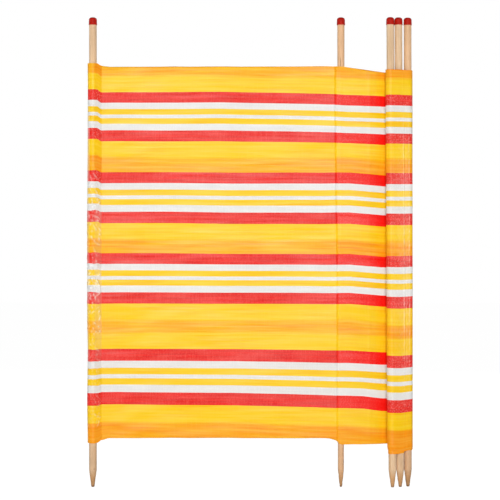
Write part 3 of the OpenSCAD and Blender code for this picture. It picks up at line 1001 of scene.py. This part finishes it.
def bay_2_plan(heights):
    """Plan of the half-rolled bay at each height: seam, second pole, open run and roll."""
    second, third, fifth = (axis_at(i, heights) for i in (1, 2, 4))
    near_r = SECOND_R + BAY_2_GAP
    outer_r = RIGHT_R + OUTER_PITCH * WOUND_L / OUTER_TURN_L
    run = fifth - second
    cross = np.arctan2(run[:, 1], run[:, 0]) + np.arcsin((near_r + outer_r) / np.linalg.norm(run, axis=1))
    touch = np.full_like(cross, SECOND_SEAM_A + math.acos(near_r / SECOND_SEAM_D))
    leave, entry = 1.5 * math.pi + cross, math.pi / 2 + cross
    reach, first = around(second, near_r, touch), around(second, near_r, leave)
    last = around(fifth, outer_r, entry)
    columns = [SECOND_SEAM + (reach - SECOND_SEAM) * t for t in shares(SEAM_COLUMNS)]
    columns += [around(second, near_r, touch + (leave - touch) * t) for t in shares(WRAP_COLUMNS)]
    columns += [first + (last - first) * t for t in shares(OPEN_COLUMNS)]
    wound, _ = winding(third, fifth, LEFT_R, RIGHT_R, WOUND_L, OUTER_PITCH, entry,
                       ((ENTRY_COLUMNS, FACE_COLUMNS), INNER_COLUMNS),
                       ROLL_SLACK * ease(heights, *ROLL_SLACK_RANGE))
    return np.concatenate([np.stack(columns, 1), wound], 1)


def bay_2_hang(v, u, x):
    """Heights of the half-rolled bay's rows, and how far each point is folded to the back."""
    bottom, top, bottom_seen, top_seen = (np.interp(u, *edge) for edge in BAY_2_EDGES)
    swept = np.maximum(bottom_seen, np.interp(x, *SWEPT_LOW))
    bottom_seen = np.where(x < SWEPT_LOW[0][-1], swept, bottom_seen)
    inner = ease(u, *INNER_START)
    drop = INNER_DROP * (1 - ease(x, *INNER_DROP_RANGE))
    bottom = bottom + inner * (INNER_BOTTOM - drop - bottom)
    bottom_seen = bottom_seen + inner * (bottom - bottom_seen)
    top_seen = top_seen - INNER_TOP_DROP * inner
    fray = BAY_2_FRAY * noise(u * 380, 0 * u, 6) * ease(u, *BAY_2_FRAY_RANGE)
    wave = BAY_2_HEM_WAVE * noise(u * 25, 0 * u, 4) * fade(u, *BAY_2_WAVE_RANGE)
    return hang(v, bottom, top, bottom_seen + fray + wave, top_seen + wave, ease(u, *DRAWN_RANGE))


def bay_2_relief(U, V, u, across, loose):
    """How far the half-rolled bay stands off its plan, on the open run and on the roll's face."""
    t = np.clip((U - u[OPEN_START]) / (u[ROLL_START] - u[OPEN_START]), 0, 1)
    relief = OPEN_RIPPLE * noise(U * 12, V * 5, 18) * band(U, *OPEN_BAND) + OPEN_BOW * 4 * t * (1 - t)
    depth, at, width = OPEN_CREASE
    relief = relief + depth * np.exp(-np.abs(U - at) / width) * at_least(0.7, noise(U, V * 6, 19))
    relief = relief - SEAM_DIP * hump(U, 0, SEAM_W) - HOLLOW * band(U, *HOLLOW_BAND)
    swell = fade(u[FACE_START] - U, *BULGE_RANGE) * (1 - across)
    fold = sum(depth * hump(across, at, width) for depth, at, width in FACE_FOLDS)
    relief = relief - ROLL_BULGE * swell * at_least(0.2, loose) - fold * at_least(0.35, loose)
    face = band(across, *FACE_BAND)
    return relief + face * (FACE_RIPPLE * noise(U * 90, V * 8, 20) - FOOT_FLARE * np.exp(-V / FOOT_FLARE_H))


def bay_2_glints(U, V, across, loose):
    """How much the roll's face is whitened by glints painted as specks and lines."""
    glint_speck = ease(noise(U * 430, V * 300, 21), -0.5, 0.9)
    lines = sum(hump(across, at, GLINT_LINE_W) for at in GLINT_LINES)
    glint = FACE_GLINT + LEFT_GLINT * (1 - across) + LINE_GLINT * lines
    return glint * (0.35 + 1.3 * glint_speck) * loose * (across > 0) * (across < 1)


def make_bay_2():
    """The half-rolled bay."""
    v, stripes = cloth_rows(step=0.0055, edge_step=0.0014)
    heights = BAY_2_LOW + ROLL_H * v / CLOTH_H
    plan = bay_2_plan(heights)
    middle_row = plan[len(v) // 2]
    u, x = path_length(middle_row), middle_row[:, 0]
    z, back = bay_2_hang(v, u, x)
    U, V = np.meshgrid(u, v)
    face_w = u[FACE_START + FACE_COLUMNS] - u[FACE_START]
    across = np.clip((U - u[FACE_START]) / face_w, 0, 1)
    loose = band(heights, *LOOSE_BAND)[:, None]
    relief = bay_2_relief(U, V, u, across, loose) - back
    rolled = ease(u, *ROLLED_RANGE)
    z = z + (1 - rolled) * stripe_lift(x, z) + rolled * WOUND_RISE * band(z, *WOUND_RISE_BAND)
    middle = lift(plan + plan_normal(plan) * relief[..., None], z)
    middle[..., 0] += seam_lean(z) * fade(U, 0, BAY_2_LEAN_W)
    # Painted shade: a deeper orange on the bay and more on the roll, and a deeper red towards the crease
    low_stripe = fade(v, *LOW_SHADE_RANGE)[:, None]
    depth = BAY_2_SHADE + ROLLED_SHADE * rolled - LOW_SHADE * low_stripe * (1 - rolled)
    deep_shade = (SEAM_DEEP_SHADE + CREASE_DEEP_SHADE * ease(u, *CREASE_DEEP_SHADE_RANGE)) * fade(u, *DEEP_SHADE_END)
    obj = cloth_piece("bay_2_cloth", middle, v, stripes, u, TURN_T, ["bay_2_panel", "bay_2_turns"],
                      bay_2_glints(U, V, across, loose), depth, deep_shade)
    return obj


make_bay_2()


# Rolled pockets and bays inside the roll
ROLLED_R = 0.01005
ROLLED_EDGES = {2: (0.0862, 1.0646), 3: (0.0868, 1.0650), 4: (0.0945, 1.0652)}
ROLLED_FRAY = 0.0007
INNER_LOW = 0.094
INNER_FRAY = 0.0006
BAY_3_RADII = (0.01025, 0.01090)
BAY_3_PITCH = 0.00007
BAY_3_COLUMNS = ((12, 2), (12, 2))
BAY_3_SEAMS = 0.02
BAY_3_EDGES = (0.0945, 1.0640)
BAY_4_R = 0.01022
BAY_4_MEAN_R = 0.0105
BAY_4_PITCH = 0.00006
BAY_4_SEAMS = 0.01
BAY_4_START = 1.5
BAY_4_EDGES = (0.0940, 1.0648)
COIL_POINTS = 24


def inner_rows(low, high):
    """Rows of a rolled piece between two heights: lengths up the cloth, stripes and heights."""
    v, stripes = cloth_rows(step=0.05, edge_step=0.013)
    return v, stripes, low + (high - low) * v / CLOTH_H


def make_tube(i, edges):
    """A pocket sewn round pole i inside the roll."""
    v, stripes, heights = inner_rows(*edges)
    angles = np.linspace(0, -2 * math.pi, 49)
    plan = around(axis_at(i, heights)[:, None, :], ROLLED_R, angles[None, :])
    z = np.repeat(heights[:, None], len(angles), 1)
    z[0] += ROLLED_FRAY * noise(angles * 8 + 40, 0 * angles, 30 + i)
    u = ROLLED_R * np.abs(angles)
    obj = cloth_piece(f"pocket_{i + 1}_cloth", lift(plan, z), v, stripes, u, TURN_T, [f"pocket_{i + 1}"])
    return obj


def make_inner(name, plan, u, edges, replaced):
    """A bay wound inside the roll."""
    v, stripes, heights = inner_rows(*edges)
    z = np.repeat(heights[:, None], len(u), 1)
    z[0] += INNER_FRAY * noise(u * 300, 0 * u, 44)
    obj = cloth_piece(name, lift(plan, z), v, stripes, u, INNER_T, replaced)
    return obj


def make_bay_3(fourth, fifth):
    """The third bay, wound round poles 4 and 5."""
    run = fifth - fourth
    entry = np.arctan2(run[:, 1], run[:, 0]) + math.pi / 2
    plan, u = winding(fourth, fifth, *BAY_3_RADII, BAY_W - BAY_3_SEAMS, BAY_3_PITCH, entry, BAY_3_COLUMNS)
    make_inner("bay_3_cloth", plan, u, BAY_3_EDGES, ["bay_3_turns"])


def make_bay_4(fifth):
    """The fourth bay, coiled round pole 5."""
    turns = (BAY_W - BAY_4_SEAMS) / (2 * math.pi * BAY_4_MEAN_R)
    angles = np.linspace(0, 2 * math.pi * turns, int(turns * COIL_POINTS))
    radii = BAY_4_R + BAY_4_PITCH * (turns - angles / (2 * math.pi))
    plan = around(fifth[:, None, :], radii[None, :], BAY_4_START - angles[None, :])
    u = np.cumsum(radii) * (angles[1] - angles[0])
    make_inner("bay_4_cloth", plan, u, BAY_4_EDGES, ["bay_4_turns"])


for pole, pocket_edges in ROLLED_EDGES.items():
    make_tube(pole, pocket_edges)
_, _, roll_heights = inner_rows(INNER_LOW, INNER_LOW + ROLL_H)
make_bay_3(axis_at(3, roll_heights), axis_at(4, roll_heights))
make_bay_4(axis_at(4, roll_heights))


# Stage: white floor and world, soft lights and the photo's camera
WHITE = (1.0, 1.0, 1.0)
WORLD_FILL = 0.05
FLOOR_HALF = 14.0
FLOOR_COLOUR = (0.8, 0.8, 0.8)
FLOOR_GLOW = 1.2
FLOOR_GLOW_SHARE = 0.82
MIDDLE = (0.4016, 0.0, 0.6055)
CAMERA_D = 4.0
FRAME_W = 1.2785
SENSOR_W = 36.0
# Lamps: name, place, what they face, width, height and power
LIGHTS = (("front_softbox", (0.45, -4.4, 1.2), MIDDLE, 3.2, 1.7, 141.0),
          ("left_softbox", (-1.5, -0.45, 0.9), (0.0, 0.0, 0.6), 0.8, 1.8, 6.2),
          ("right_softbox", (3.2, -0.3, 1.1), (0.4, 0.0, 0.6), 1.0, 2.0, 8.0),
          ("low_bounce", (0.4, -2.4, 0.12), (0.4, 0.0, 0.2), 2.6, 0.2, 11.0),
          ("back_softbox", (0.6, 3.4, 1.6), MIDDLE, 2.6, 2.2, 55.0))


def stage_rays(tree):
    """1 for rays that show the stage: seen directly, reflected or through a clear piece."""
    path = tree.nodes.new("ShaderNodeLightPath")
    seen = plain_math(tree, "MAXIMUM", path.outputs["Is Camera Ray"], path.outputs["Is Glossy Ray"])
    return plain_math(tree, "MAXIMUM", seen, path.outputs["Is Transmission Ray"])


def join_shaders(tree, factor, first, second, output):
    """Mixes two shaders by a factor into an output."""
    mix = add_node(tree, "ShaderNodeMixShader", {0: factor, 1: first.outputs[0], 2: second.outputs[0]})
    feed(tree, tree.nodes[output], {"Surface": mix.outputs[0]})


def make_world():
    """White where it is seen and a plain soft fill elsewhere."""
    world = bpy.data.worlds.new("studio")
    bpy.context.scene.world = world
    world.use_nodes = True
    tree = world.node_tree
    fill, white = (add_node(tree, "ShaderNodeBackground", {"Color": WHITE, "Strength": strength})
                   for strength in (WORLD_FILL, 1.0))
    join_shaders(tree, stage_rays(tree), fill, white, "World Output")


def make_floor():
    """A white floor that keeps a light shadow."""
    mesh = bpy.data.meshes.new("floor")
    corners = [(x * FLOOR_HALF, y * FLOOR_HALF, 0) for x, y in ((-1, -1), (1, -1), (1, 1), (-1, 1))]
    mesh.from_pydata(corners, [], [(0, 1, 2, 3)])
    material, tree, shader = new_material("floor_white", 0.9, 0.0)
    feed(tree, shader, {"Base Color": FLOOR_COLOUR})
    glow = add_node(tree, "ShaderNodeEmission", {"Color": WHITE, "Strength": FLOOR_GLOW})
    share = plain_math(tree, "MULTIPLY", stage_rays(tree), FLOOR_GLOW_SHARE)
    join_shaders(tree, share, shader, glow, "Material Output")
    mesh.materials.append(material)
    floor = bpy.data.objects.new("floor", mesh)
    bpy.context.scene.collection.objects.link(floor)


def make_light(name, place, aim, width, height, power):
    """A soft rectangular lamp, unseen by the camera."""
    lamp = bpy.data.lights.new(name, "AREA")
    lamp.shape = "RECTANGLE"
    lamp.size, lamp.size_y, lamp.energy = width, height, power
    obj = bpy.data.objects.new(name, lamp)
    obj.location = place
    obj.rotation_euler = (Vector(aim) - Vector(place)).to_track_quat("-Z", "Y").to_euler()
    obj.visible_camera = False
    bpy.context.scene.collection.objects.link(obj)


def make_camera():
    """The photo's camera, level and straight on."""
    camera = bpy.data.cameras.new("camera")
    camera.sensor_width = SENSOR_W
    camera.lens = SENSOR_W * CAMERA_D / FRAME_W
    eye = bpy.data.objects.new("camera", camera)
    eye.location = (MIDDLE[0], -CAMERA_D, MIDDLE[2])
    eye.rotation_euler = (math.pi / 2, 0, 0)
    bpy.context.scene.collection.objects.link(eye)
    bpy.context.scene.camera = eye


make_world()
make_floor()
for light in LIGHTS:
    make_light(*light)
make_camera()
bpy.context.scene.view_settings.view_transform = "Standard"
